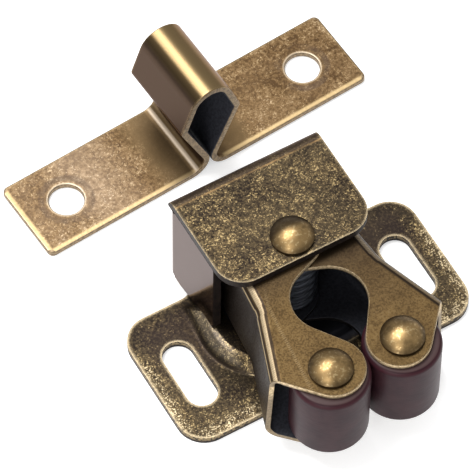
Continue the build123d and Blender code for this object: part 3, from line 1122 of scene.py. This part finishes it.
@dataclass(frozen=True)
class CutEdge(Plain):
    """A cut edge that is bright where it shows, with painted shade where light misses it."""

    gold: Colour = (0.34, 0.25, 0.13)
    hidden_shade: Colour = (0.01, 0.008, 0.007)
    plate_tops: Point = (14.375, 13.675)

    def age(self, skin: BracketSkin, grain: Value) -> None:
        """Paints shade on the plates' lower edge, the channel's mouth and what lies behind it."""
        left, right = self.plate_tops
        top = left + (right - left) * skin.zone(rightward=(-0.1, 0.1))
        # Painted shade on the lower part of the upper plates' rims, on the lower rims at the channel's
        # mouth, and darkest on the rims behind it.
        in_shade = (skin.height - top).inside(-0.3, -0.4)
        skin.paint(0.7 * in_shade, self.gold, height=(12.5, 12.8), along=(12.0, 11.0))
        skin.paint(0.75, self.gold, height=(12.0, 9.5), along=(0.0, -12.0))
        skin.paint(1.0, self.hidden_shade, height=(6.0, 4.0), along=(-11.0, 12.0, 0.8))


@dataclass(frozen=True)
class Nylon:
    """Dark reddish-brown moulded nylon, satin, with faint turning marks and scuffs, painted shade on
    the upper rounding and a painted lighter top face.
    """

    name: str = "roller_nylon"
    low: Colour = (0.02, 0.006, 0.009)
    high: Colour = (0.032, 0.011, 0.014)
    rounding: Colour = (0.034, 0.009, 0.013)
    lit_end_face: Colour = (0.056, 0.032, 0.032)
    roughness: float = 0.42
    gloss: float = 0.14
    relief: float = 0.01
    bump: float = 0.6

    def build(self) -> bpy.types.Material:
        """Makes the material."""
        skin = Skin(self.name)
        scuff = skin.noise(1.1, stretch=(1.0, 1.0, 5.0))
        skin.colour = skin.mix(skin.noise(2.5).inside(0.3, 0.7), self.low, self.high)
        # Painted shade on the upper rounding, and a painted lighter top face.
        skin.paint(1.0, self.rounding, lean=(0.15, 0.85, 0.2))
        skin.paint(1.0, self.lit_end_face, lean=(0.85, 0.97))
        return skin.coat(
            scuff, self.relief, self.bump, Metallic=0.0, Specular_IOR_Level=self.gloss,
            Roughness=self.roughness + 0.18 * (scuff - 0.5))


class Finish(Enum):
    """Every finish of the catch."""

    BRACKET = Plating(
        "antique_bronze", BracketSkin, dark=(0.014, 0.0105, 0.008), ground=(0.043, 0.031, 0.018),
        fleck=(0.098, 0.069, 0.034), spark=(0.34, 0.25, 0.12), gleam=(0.53, 0.43, 0.27),
        stain=(0.054, 0.041, 0.024), worn=(0.5, 0.4, 0.25), fleck_size=0.32, satin_roughness=0.14)
    STRIKE = Plating(
        "light_bronze", StrikeSkin, dark=(0.07, 0.04, 0.018), ground=(0.13, 0.078, 0.034),
        fleck=(0.19, 0.122, 0.06), spark=(0.34, 0.24, 0.13), gleam=(0.5, 0.38, 0.24),
        stain=(0.16, 0.1, 0.05), worn=(0.42, 0.31, 0.17), fleck_size=0.34)
    JAW = Satin(
        "satin_bronze", dark=(0.06, 0.036, 0.014), ground=(0.115, 0.072, 0.027),
        flank=(0.022, 0.015, 0.011), spark=(0.19, 0.13, 0.058), worn=(0.5, 0.38, 0.21),
        bright=(0.6, 0.47, 0.3))
    RIVET = Brass(
        "brass_rivet", dark=(0.16, 0.105, 0.045), ground=(0.32, 0.21, 0.09), glint=(0.52, 0.38, 0.19),
        shade_tint=(0.035, 0.023, 0.012))
    # The bracket's rims are dark as painted shade, with gold on the ears and painted bead highlights.
    RIM = BeadedRim(
        "dark_rim", low=(0.008, 0.006, 0.006), high=(0.026, 0.018, 0.014), metallic=0.25, gloss=0.15)
    CUT = CutEdge(
        "cut_edge", low=(0.36, 0.265, 0.145), high=(0.74, 0.575, 0.35), metallic=0.55,
        gold=(0.1, 0.072, 0.045))
    STRIKE_CUT = CutEdge("strike_cut_edge", low=(0.16, 0.115, 0.07), high=(0.32, 0.235, 0.14))
    # Painted shade: the inner faces of the channels are dark as shade.
    INSIDE = Plain(
        "channel_inside", low=(0.032, 0.033, 0.042), high=(0.054, 0.056, 0.07),
        roughness=0.6, metallic=0.5)
    WIRE = Plain(
        "spring_wire", low=(0.004, 0.0045, 0.0065), high=(0.015, 0.018, 0.025),
        roughness=0.25, metallic=1.0)
    NYLON = Nylon()

    @property
    def material(self) -> bpy.types.Material:
        """The finish's material, made on first use."""
        return bpy.data.materials.get(self.value.name) or self.value.build()


# Sub-assemblies

def cap_radius(foot_r: float, rise: float) -> float:
    """Radius of the ball that a cap of this foot and rise is cut from."""
    return (foot_r * foot_r + rise * rise) / (2 * rise)


@dataclass
class Rivet:
    """A rivet with a domed head above and a peened tail below, as long as its CAD node."""

    name: str
    node: str
    body: str
    shank_r: float = 1.5
    tail: float = 0.8
    head_r: float = 2.45
    head_rim: float = 0.4
    head_rise: float = 1.15
    tail_r: float = 2.2
    tail_rim: float = 0.2
    head_steps: int = 9
    tail_steps: int = 6
    steps: int = 64

    def build(self) -> None:
        """Turns the rivet from its half outline."""
        low, high = (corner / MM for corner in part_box(self.node))
        x, y = (low.x + high.x) / 2, (low.y + high.y) / 2
        shank, head, tail = x + self.shank_r, x + self.head_r, x + self.tail_r
        grip, seat = low.z + self.tail, high.z - self.head_rim - self.head_rise
        outline = Pencil(self.name, (shank, grip), View.FRONT, y)
        outline.line((shank, seat), (head, seat), (head, seat + self.head_rim))
        crown = cap_radius(self.head_r, self.head_rise)
        outline.arc((x, high.z - crown), degrees(asin(self.head_r / crown)), self.head_steps)
        outline.line((x, low.z))
        crown = cap_radius(self.tail_r, self.tail - self.tail_rim)
        outline.arc((x, low.z + crown), degrees(asin(self.tail_r / crown)), self.tail_steps)
        outline.line((tail, grip), (shank, grip))
        piece = dress(lathe(outline.fill(), (x, y), self.steps), Finish.RIVET.material)
        deliver(piece, self.body, self.node)


@dataclass
class Rollers:
    """The two rollers and the rivets that they turn on."""

    length: float = 10.0
    bore_r: float = 1.56
    rim_r: float = 0.6
    x: float = 4.46
    y: float = -13.75
    rim_steps: int = 6
    steps: int = 72

    def roller(self, side: str, sign: int) -> None:
        """One roller, turned from its half outline."""
        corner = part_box(f"{side}_roller")[0] / MM
        low, high = corner.z, corner.z + self.length
        x, r = sign * self.x, self.y - corner.y
        out, inn, rim = x + r, x + self.bore_r, self.rim_r
        outline = Pencil(f"{side}_roller_nylon", (inn, low), View.FRONT, self.y)
        outline.line((out - rim, low)).arc((out - rim, low + rim), 90, self.rim_steps)
        outline.line((out, high - rim)).arc((out - rim, high - rim), 90, self.rim_steps)
        outline.line((inn, high))
        piece = lathe(outline.fill(), (x, self.y), self.steps)
        dress(piece, Finish.NYLON.material)
        deliver(piece, f"{side}_wheel", f"{side}_roller")

    def build(self) -> None:
        """Both rollers and both rivets."""
        for side, sign in (("left", -1), ("right", 1)):
            self.roller(side, sign)
            Rivet(f"{side}_rivet", f"{side}_roller_pin", f"{side}_arm").build()


@dataclass
class Jaw:
    """One jaw: a channel of sheet whose flank joins two plates, drawn from the pivot."""

    side: str
    mirrored: bool
    pivot_y: float = 2.1
    height: float = 11.35
    sheet: float = 0.6
    bend_r: float = 1.3
    knee_r: float = 5.0
    boss_r: float = 3.2
    pivot_r: float = 1.65
    keyhole: Point = (0.0, -8.0)
    keyhole_r: float = 4.25
    lobe: Point = (-4.12, -15.75)
    lobe_r: float = 3.6
    pin: Point = (-4.46, -15.85)
    pin_r: float = 1.52
    tail: Point = (-6.6, 5.6)
    knee: Point = (-7.75, -5.6)
    front: Point = (-10.7, -13.7)
    tail_edge: float = 1.5
    flare: float = 0.5
    edge_break: float = 0.09
    knee_steps: int = 6
    bend_steps: int = 7

    def plate(self, flare: float, height: float) -> bpy.types.Object:
        """The outline of one plate: flank, lobe, keyhole edge and pivot boss."""
        tail, knee, front = ((x - flare, y) for x, y in (self.tail, self.knee, self.front))
        pivot = (0.0, 0.0)
        inner_tail = (self.tail[0] + self.tail_edge, self.tail[1])
        lobe_in = touch_from_point(front, self.lobe, self.lobe_r, -1)
        lobe_out, key_in = touch_between(self.lobe, self.lobe_r, self.keyhole, self.keyhole_r, -1)
        boss_in, key_out = touch_between(pivot, self.boss_r, self.keyhole, self.keyhole_r, 1)
        boss_out = touch_from_point(inner_tail, pivot, self.boss_r, 1)
        pencil = Pencil("plate", tail, offset=height)
        start, centre, sweep = rounding(tail, knee, front, self.knee_r)
        pencil.line(start).arc(centre, sweep, self.knee_steps).line(front, lobe_in)
        pencil.arc_to(self.lobe, lobe_out, False).line(key_in)
        pencil.arc_to(self.keyhole, key_out, True).line(boss_in)
        pencil.arc_to(pivot, boss_out, False).line(inner_tail)
        return pencil.fill()

    def on_flank(self, a: Vector, b: Vector) -> bool:
        """Whether an edge of the blank lies on the flank."""
        return max(a.x, b.x) < self.tail[0] + MERGE and min(a.y, b.y) > self.front[1] - MERGE

    def at_bend(self, a: Vector, b: Vector) -> bool:
        """Whether an edge of the blank joins the flank to a plate."""
        return self.on_flank(a, b) and abs(a.z - b.z) < MERGE

    def build(self) -> None:
        """Folds the channel, pierces it and hands it over."""
        piece = join(
            f"{self.side}_jaw_sheet", self.plate(self.flare, 0.0), self.plate(0.0, self.height))
        with editing(piece, False):
            pick_edges(piece, self.on_flank)
            bpy.ops.mesh.bridge_edge_loops()
        face_like(piece, Vector((0, 0, self.height)), Vector((0, 0, 1)))
        fold(piece, self.at_bend, self.bend_r, self.bend_steps)
        thicken(piece, self.sheet, Finish.JAW.material, Finish.INSIDE.material, Finish.CUT.material)
        bore(piece, (0.0, 0.0), self.pivot_r, self.height)
        bore(piece, self.pin, self.pin_r, self.height)
        if self.mirrored:
            place(piece, Matrix.Scale(-1, 4, (1, 0, 0)))
            with editing(piece):
                bpy.ops.mesh.flip_normals()
        soften(piece, self.edge_break)
        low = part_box(f"{self.side}_jaw")[0].z / MM
        place(piece, Matrix.Translation((0, self.pivot_y, low)))
        deliver(piece, f"{self.side}_arm", f"{self.side}_jaw")


@dataclass
class Bracket:
    """The bracket: one sheet with slotted ears, a raised platform, wall, flanges and top plate."""

    sheet: float = 1.0
    ear_half: float = 18.25
    front_y: float = -8.3
    ear_rear_y: float = 8.75
    ear_corner_r: float = 3.3
    ear_root_r: float = 2.0
    tongue_half: float = 7.95
    slot_x: float = 13.9
    slot_half: float = 4.4
    slot_r: float = 1.8
    tower_half: float = 9.25
    tower_rear_y: float = 13.0
    height: float = 15.4
    top_front_y: float = -0.7
    top_corner_r: float = 3.3
    bend_r: float = 1.3
    flange_front_y: float = 3.1
    flange_bend_r: float = 1.2
    relief: float = 0.1
    platform_rise: float = 1.3
    platform_front_y: float = -4.5
    platform_rear_y: float = 7.4
    platform_half_front: float = 11.2
    platform_half_rear: float = 10.1
    platform_corner_r: float = 6.6
    side_slope: float = 1.5
    front_slope: float = 0.8
    rear_slope: float = 2.4
    press_foot_r: float = 1.6
    press_crest_r: float = 0.5
    pivot: Point = (0.0, 2.1)
    pivot_r: float = 1.62
    flange_gap: float = 0.12
    edge_break: float = 0.22
    press_steps: int = 3
    bend_steps: int = 6
    slot_steps: int = 16

    def platform_line(self, inward: float, height: float) -> bpy.types.Object:
        """One height line of the platform, closed, at a share of the slope's width inwards."""
        front = self.platform_half_front - inward * self.side_slope
        rear = self.platform_half_rear - inward * self.side_slope
        front_y = self.platform_front_y + inward * self.front_slope
        rear_y = self.platform_rear_y - inward * self.rear_slope
        r = self.platform_corner_r - inward * self.front_slope
        pencil = Pencil("platform_line", (-rear, rear_y), offset=height)
        pencil.corner((-front, front_y), (front, front_y), r)
        pencil.corner((front, front_y), (rear, rear_y), r).line((rear, rear_y))
        return pencil.close()

    def press_profile(self) -> list[Point]:
        """The pressed slope as shares of its width and heights, rounded at foot and crest."""
        foot, crest = (0.0, 0.0), (self.side_slope, self.platform_rise)
        before, after = (-self.side_slope, 0.0), (2 * self.side_slope, self.platform_rise)
        profile = []
        for bend in (
                (before, foot, crest, self.press_foot_r),
                (foot, crest, after, self.press_crest_r)):
            start, centre, sweep = rounding(*bend)
            r, angle = hypot(start[0] - centre[0], start[1] - centre[1]), angle_of(centre, start)
            turn = radians(sweep) / self.press_steps
            profile += [polar(centre, r, angle + turn * step) for step in range(self.press_steps + 1)]
        return [(run / self.side_slope, height) for run, height in profile]

    def base(self) -> list[bpy.types.Object]:
        """The ears and tongue round the platform, and the platform's slopes and crest."""
        half, front, rear = self.ear_half, self.front_y, self.ear_rear_y
        tongue, end = self.tongue_half, self.tower_rear_y
        pencil = Pencil("base_outline", (0.0, front))
        pencil.corner((half, front), (half, rear), self.ear_corner_r)
        pencil.corner((half, rear), (tongue, rear), self.ear_corner_r)
        pencil.corner((tongue, rear), (tongue, end), self.ear_root_r)
        pencil.line((tongue, end), (-tongue, end))
        pencil.corner((-tongue, rear), (-half, rear), self.ear_root_r)
        pencil.corner((-half, rear), (-half, front), self.ear_corner_r)
        pencil.corner((-half, front), (0.0, front), self.ear_corner_r)
        outline = pencil.close()
        profile = self.press_profile()
        flat = join("base_flat", outline, self.platform_line(*profile[0]))
        with editing(flat):
            bpy.ops.mesh.fill(use_beauty=False)
        parts = [flat]
        for low, high in zip(profile, profile[1:]):
            ring = join("platform_slope", self.platform_line(*low), self.platform_line(*high))
            with editing(ring):
                bpy.ops.mesh.bridge_edge_loops()
            parts.append(ring)
        crest = self.platform_line(*profile[-1])
        with editing(crest):
            bpy.ops.mesh.edge_face_add()
        return parts + [crest]

    def tower(self) -> list[bpy.types.Object]:
        """Rear wall, top plate and both flanges, unfolded corners still sharp."""
        wide, tongue, rear, top = self.tower_half, self.tongue_half, self.tower_rear_y, self.height
        low = self.bend_r + self.relief
        high, slit = top - low, self.relief / 2
        right_side = [
            (tongue, 0.0), (tongue, low), (wide, low), (wide, high - slit),
            (tongue, high - slit), (tongue, high + slit), (wide, high + slit), (wide, top),
        ]
        left_side = [mirrored(point) for point in reversed(right_side)]
        wall = Pencil("rear_wall", mirrored(right_side[0]), View.FRONT, rear)
        parts = [wall.line(*right_side, *left_side[:-1]).fill()]
        plate = Pencil("top_plate", (0.0, self.top_front_y), offset=top)
        plate.corner((wide, self.top_front_y), (wide, rear), self.top_corner_r)
        plate.line((wide, rear), (-wide, rear))
        plate.corner((-wide, self.top_front_y), (0.0, self.top_front_y), self.top_corner_r)
        parts.append(plate.fill())
        notch, gap = rear - low, self.flange_gap
        floor = self.sheet + gap
        crest_y = self.platform_rear_y - self.rear_slope + gap
        for side in (-1, 1):
            flange = Pencil("flange", (rear, low), View.SIDE, side * wide)
            flange.line(
                (rear, high - slit), (notch, high - slit), (notch, top - floor),
                (self.flange_front_y, top - floor), (self.flange_front_y, floor + self.platform_rise),
                (crest_y, floor + self.platform_rise),
                (rear - 2 * low, floor), (notch, floor), (notch, low))
            parts.append(flange.fill())
        return parts

    def slot(self, x: float) -> bpy.types.Object:
        """A cutter for one screw slot."""
        r, run = self.slot_r, self.slot_half - self.slot_r
        pencil = Pencil("slot_cutter", (x + r, -run), offset=-CLEAR)
        for side in (1, -1):
            pencil.line((x + side * r, side * run)).arc((x, side * run), 180, self.slot_steps)
        return extrude_all(pencil.fill(), (0, 0, CLEAR + 2 * self.sheet))

    def at_level_bend(self, a: Vector, b: Vector) -> bool:
        """Whether an edge of the blank joins the rear wall to the base or the top plate."""
        outer = a.z < MERGE or a.z > self.height - MERGE
        return outer and abs(a.z - b.z) < MERGE and min(a.y, b.y) > self.tower_rear_y - MERGE

    def at_flange_bend(self, a: Vector, b: Vector) -> bool:
        """Whether an edge of the blank joins the rear wall to a flange."""
        upright = abs(a.x - b.x) < MERGE and abs(a.z - b.z) > self.height / 2
        at_side = abs(a.x) > self.tower_half - MERGE
        return upright and at_side and min(a.y, b.y) > self.tower_rear_y - MERGE

    def build(self) -> None:
        """Folds the bracket, pierces it and hands it over."""
        piece = join("bracket_sheet", *self.base(), *self.tower())
        face_like(piece, Vector((0, self.tower_rear_y / 2, self.height)), Vector((0, 0, 1)))
        fold(piece, self.at_level_bend, self.bend_r, self.bend_steps)
        fold(piece, self.at_flange_bend, self.flange_bend_r, self.bend_steps)
        plated = Finish.BRACKET.material
        thicken(piece, self.sheet, plated, plated, Finish.RIM.material)
        for side in (-1, 1):
            punch(piece, self.slot(side * self.slot_x))
        bore(piece, self.pivot, self.pivot_r, self.height)
        soften(piece, self.edge_break, 3)
        deliver(piece, "root", "bracket")


@dataclass
class Strike:
    """The strike: one strip folded up into an arrow-shaped prong."""

    sheet: float = 0.8
    length: float = 42.8
    width: float = 10.3
    hole_inset: float = 5.4
    hole_r: float = 2.0
    height: float = 15.7
    neck: float = 1.8
    foot_r: float = 1.5
    shoulder: Point = (3.95, 10.0)
    shoulder_r: float = 0.9
    nose_r: float = 2.8
    centre: Point = STRIKE_CENTRE
    turn: float = STRIKE_TURN
    corner_r: float = 0.7
    edge_break: float = 0.16
    shoulder_steps: int = 6
    corner_steps: int = 4

    def at_corner(self, a: Vector, b: Vector) -> bool:
        """Whether an edge of the folded strip stands upright at one of its ends."""
        return abs(abs(a.x) - self.length / 2) < MERGE and a.x == b.x and abs(a.z - b.z) > MERGE

    def build(self) -> None:
        """Folds the strip, pierces it and lays it beside the catch."""
        end, top = self.length / 2, self.sheet
        foot_c = (self.neck / 2 + self.foot_r, top + self.foot_r)
        nose_c = (0.0, self.height - self.nose_r)
        foot_up = touch_from_point(self.shoulder, foot_c, self.foot_r, -1)
        nose_in = touch_from_point(self.shoulder, nose_c, self.nose_r, -1)
        low, mid, sweep = rounding(foot_up, self.shoulder, nose_in, self.shoulder_r)
        shoulder_end = polar(mid, self.shoulder_r, angle_of(mid, low) + radians(sweep))

        pencil = Pencil("strike_sheet", (end, top), View.FRONT, -self.width / 2)
        pencil.line((foot_c[0], top)).arc_to(foot_c, foot_up, True)
        pencil.line(low).arc(mid, sweep, self.shoulder_steps)
        pencil.line(nose_in).arc_to(nose_c, mirrored(nose_in), False)
        pencil.line(mirrored(shoulder_end)).arc(mirrored(mid), sweep, self.shoulder_steps)
        pencil.line(mirrored(foot_up)).arc_to(mirrored(foot_c), (-foot_c[0], top), True)
        piece = pencil.line((-end, top)).finish()
        extrude_all(piece, (0, self.width, 0))
        face_like(piece, Vector((end, 0, top)), Vector((0, 0, 1)))
        thicken(
            piece, self.sheet, Finish.STRIKE.material, Finish.INSIDE.material,
            Finish.STRIKE_CUT.material)
        for side in (-1, 1):
            bore(piece, (side * (end - self.hole_inset), 0.0), self.hole_r, self.sheet)
        with editing(piece, False):
            pick_edges(piece, self.at_corner)
            bpy.ops.mesh.bevel(offset=self.corner_r, segments=self.corner_steps, affect="EDGES")
        soften(piece, self.edge_break)
        turned = Matrix.Rotation(radians(self.turn), 4, "Z")
        place(piece, Matrix.Translation((*self.centre, 0)) @ turned)
        deliver(piece, "root", "strike")


# Studio

@dataclass
class Studio:
    """Pale floor, soft lamps, and the camera at the photograph's place."""

    azimuth: float = 30.7088
    elevation: float = 58.0511
    roll: float = 0.8954
    distance: float = 563.226
    target: Spot = (-0.3588, 13.5873, 0.0)
    focal_pixels: float = 5045.8
    image_pixels: int = 470
    floor_size: float = 4.0
    floor_drop: float = 0.02
    floor_glow: float = 0.5
    surroundings: float = 0.55
    aim: Spot = (0.0, 0.01, 0.0)
    lamps: tuple[tuple[str, Spot, Point, float], ...] = (
        ("overhead", (-0.1, 0.25, 0.7), (0.5, 0.35), 6.0),
        ("front", (-0.5, -0.45, 0.45), (0.3, 0.5), 3.0),
    )

    def camera(self) -> None:
        """Sets the camera where the photograph was taken from."""
        az, el, roll = radians(self.azimuth), radians(self.elevation), radians(self.roll)
        back = Vector((-sin(az) * cos(el), -cos(az) * cos(el), sin(el)))
        level = Vector((cos(az), -sin(az), 0))
        upward = back.cross(level)
        right = cos(roll) * level + sin(roll) * upward
        up = -sin(roll) * level + cos(roll) * upward
        data = bpy.data.cameras.new("camera")
        data.lens = self.focal_pixels * data.sensor_width / self.image_pixels
        data.clip_start = 0.01
        camera = bpy.data.objects.new("camera", data)
        bpy.context.scene.collection.objects.link(camera)
        turned = Matrix((right, up, back)).transposed().to_4x4()
        at = (Vector(self.target) + back * self.distance) * MM
        camera.matrix_world = Matrix.Translation(at) @ turned
        bpy.context.scene.camera = camera

    def lamp(self, name: str, at: Spot, size: Point, power: float) -> None:
        """One soft rectangular lamp that faces the catch."""
        data = bpy.data.lights.new(name, "AREA")
        data.shape = "RECTANGLE"
        data.size, data.size_y = size
        data.energy = power
        lamp = bpy.data.objects.new(name, data)
        bpy.context.scene.collection.objects.link(lamp)
        lamp.location = at
        lamp.rotation_euler = (Vector(self.aim) - Vector(at)).to_track_quat("-Z", "Y").to_euler()

    def floor(self) -> None:
        """A pale floor that shows white to the camera and in reflections, and keeps the shadow."""
        bpy.ops.object.select_all(action="DESELECT")
        bpy.ops.mesh.primitive_plane_add(size=self.floor_size, location=(0, 0, -self.floor_drop * MM))
        floor = bpy.context.active_object
        floor.name = "floor"
        graph = Graph("floor")
        rays = ("Is Camera Ray", "Is Glossy Ray")
        seen = graph.math("MAXIMUM", *[graph.node("ShaderNodeLightPath", ray) for ray in rays])
        glow = graph.mix(seen, (0.0, 0.0, 0.0), (1.0, 1.0, 1.0))
        floor.data.materials.append(graph.surface(
            Base_Color=(0.8, 0.8, 0.8, 1.0), Roughness=0.9, Emission_Color=glow,
            Emission_Strength=self.floor_glow))

    def world(self) -> None:
        """Even pale surroundings."""
        world = bpy.data.worlds.new("studio")
        bpy.context.scene.world = world
        world.use_nodes = True
        background = world.node_tree.nodes["Background"]
        background.inputs["Color"].default_value = (1.0, 1.0, 1.0, 1.0)
        background.inputs["Strength"].default_value = self.surroundings

    def build(self) -> None:
        """Camera, floor, surroundings and lamps."""
        self.camera()
        self.floor()
        self.world()
        for lamp in self.lamps:
            self.lamp(*lamp)
        bpy.context.scene.view_settings.view_transform = "Standard"


def main() -> None:
    """Builds every sub-assembly, gives the CAD spring its wire finish, and builds the studio."""
    logging.basicConfig(level=logging.INFO, format="%(name)s: %(message)s")
    Rollers().build()
    Jaw("left", False).build()
    Jaw("right", True).build()
    Bracket().build()
    Rivet("pivot_brass", "pivot_rivet", "root", shank_r=1.6, tail=0.9).build()
    Strike().build()
    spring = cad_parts["torsion_spring"]
    spring.data.materials.clear()
    spring.data.materials.append(Finish.WIRE.material)
    Studio().build()


if __name__ == "__main__":
    main()
